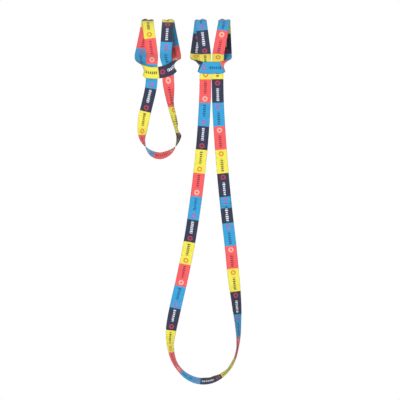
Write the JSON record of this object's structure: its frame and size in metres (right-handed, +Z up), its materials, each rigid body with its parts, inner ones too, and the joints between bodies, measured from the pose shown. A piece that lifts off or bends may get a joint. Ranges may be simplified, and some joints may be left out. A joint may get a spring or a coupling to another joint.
{
  "type": "stretching strap",
  "caption": "Printed elastic webbing loops girth-hitched on a round bar, each sewn closed with a stitched lap; the loops slide along the bar, swing and stretch.",
  "frame": {"origin": "on the axis of the bar that the hitches hold, at the middle of the long strap's hitch", "axes": "+X along the bar towards the long strap, +Y from the front of the straps to the back, +Z up"},
  "size_m": [0.2275, 0.0828, 0.7727],
  "materials": {
    "printed_webbing": "soft knitted elastic webbing printed in yellow, blue, navy and coral blocks with small plain marks",
    "thread": "matt black sewing thread"
  },
  "bodies": {
    "long_hitch": {"long_wrap_left": "printed_webbing", "long_wrap_right": "printed_webbing", "long_neck_left": "printed_webbing", "long_neck_right": "printed_webbing", "long_bridge": "printed_webbing"},
    "long_loop": {"long_leg_left": "printed_webbing", "long_leg_right_upper": "printed_webbing", "long_leg_right_lower": "printed_webbing", "long_stitching": "thread"},
    "long_bottom": {"long_bight": "printed_webbing"},
    "short_hitch": {"short_wrap_left": "printed_webbing", "short_wrap_right": "printed_webbing", "short_neck_left": "printed_webbing", "short_neck_right": "printed_webbing", "short_bridge": "printed_webbing"},
    "short_loop": {"short_leg_left": "printed_webbing", "short_leg_right_upper": "printed_webbing", "short_leg_right_lower": "printed_webbing", "short_stitching": "thread"},
    "short_bottom": {"short_bight": "printed_webbing"}
  },
  "joints": [
    {"name": "long_swing", "type": "hinge", "parent": "long_hitch", "child": "long_loop", "pos_m": [0, -0.006, -0.076], "axis": [1, 0, 0], "range_deg": [-70, 70]},
    {"name": "long_stretch", "type": "slide", "parent": "long_loop", "child": "long_bottom", "axis": [0, 0, -1], "range_m": [0, 0.25], "stiffness_N_per_m": 400, "deforming": ["long_leg_left", "long_leg_right_upper", "long_leg_right_lower", "long_stitching"]},
    {"name": "short_slide", "type": "slide", "parent": "long_hitch", "child": "short_hitch", "axis": [1, 0, 0], "range_m": [-0.148, 0.012]},
    {"name": "short_swing", "type": "hinge", "parent": "short_hitch", "child": "short_loop", "pos_m": [-0.11, -0.006, -0.086], "axis": [1, 0, 0], "range_deg": [-70, 70]},
    {"name": "short_stretch", "type": "slide", "parent": "short_loop", "child": "short_bottom", "axis": [0, 0, -1], "range_m": [0, 0.06], "stiffness_N_per_m": 1200, "deforming": ["short_leg_left", "short_leg_right_upper", "short_leg_right_lower", "short_stitching"]}
  ]
}
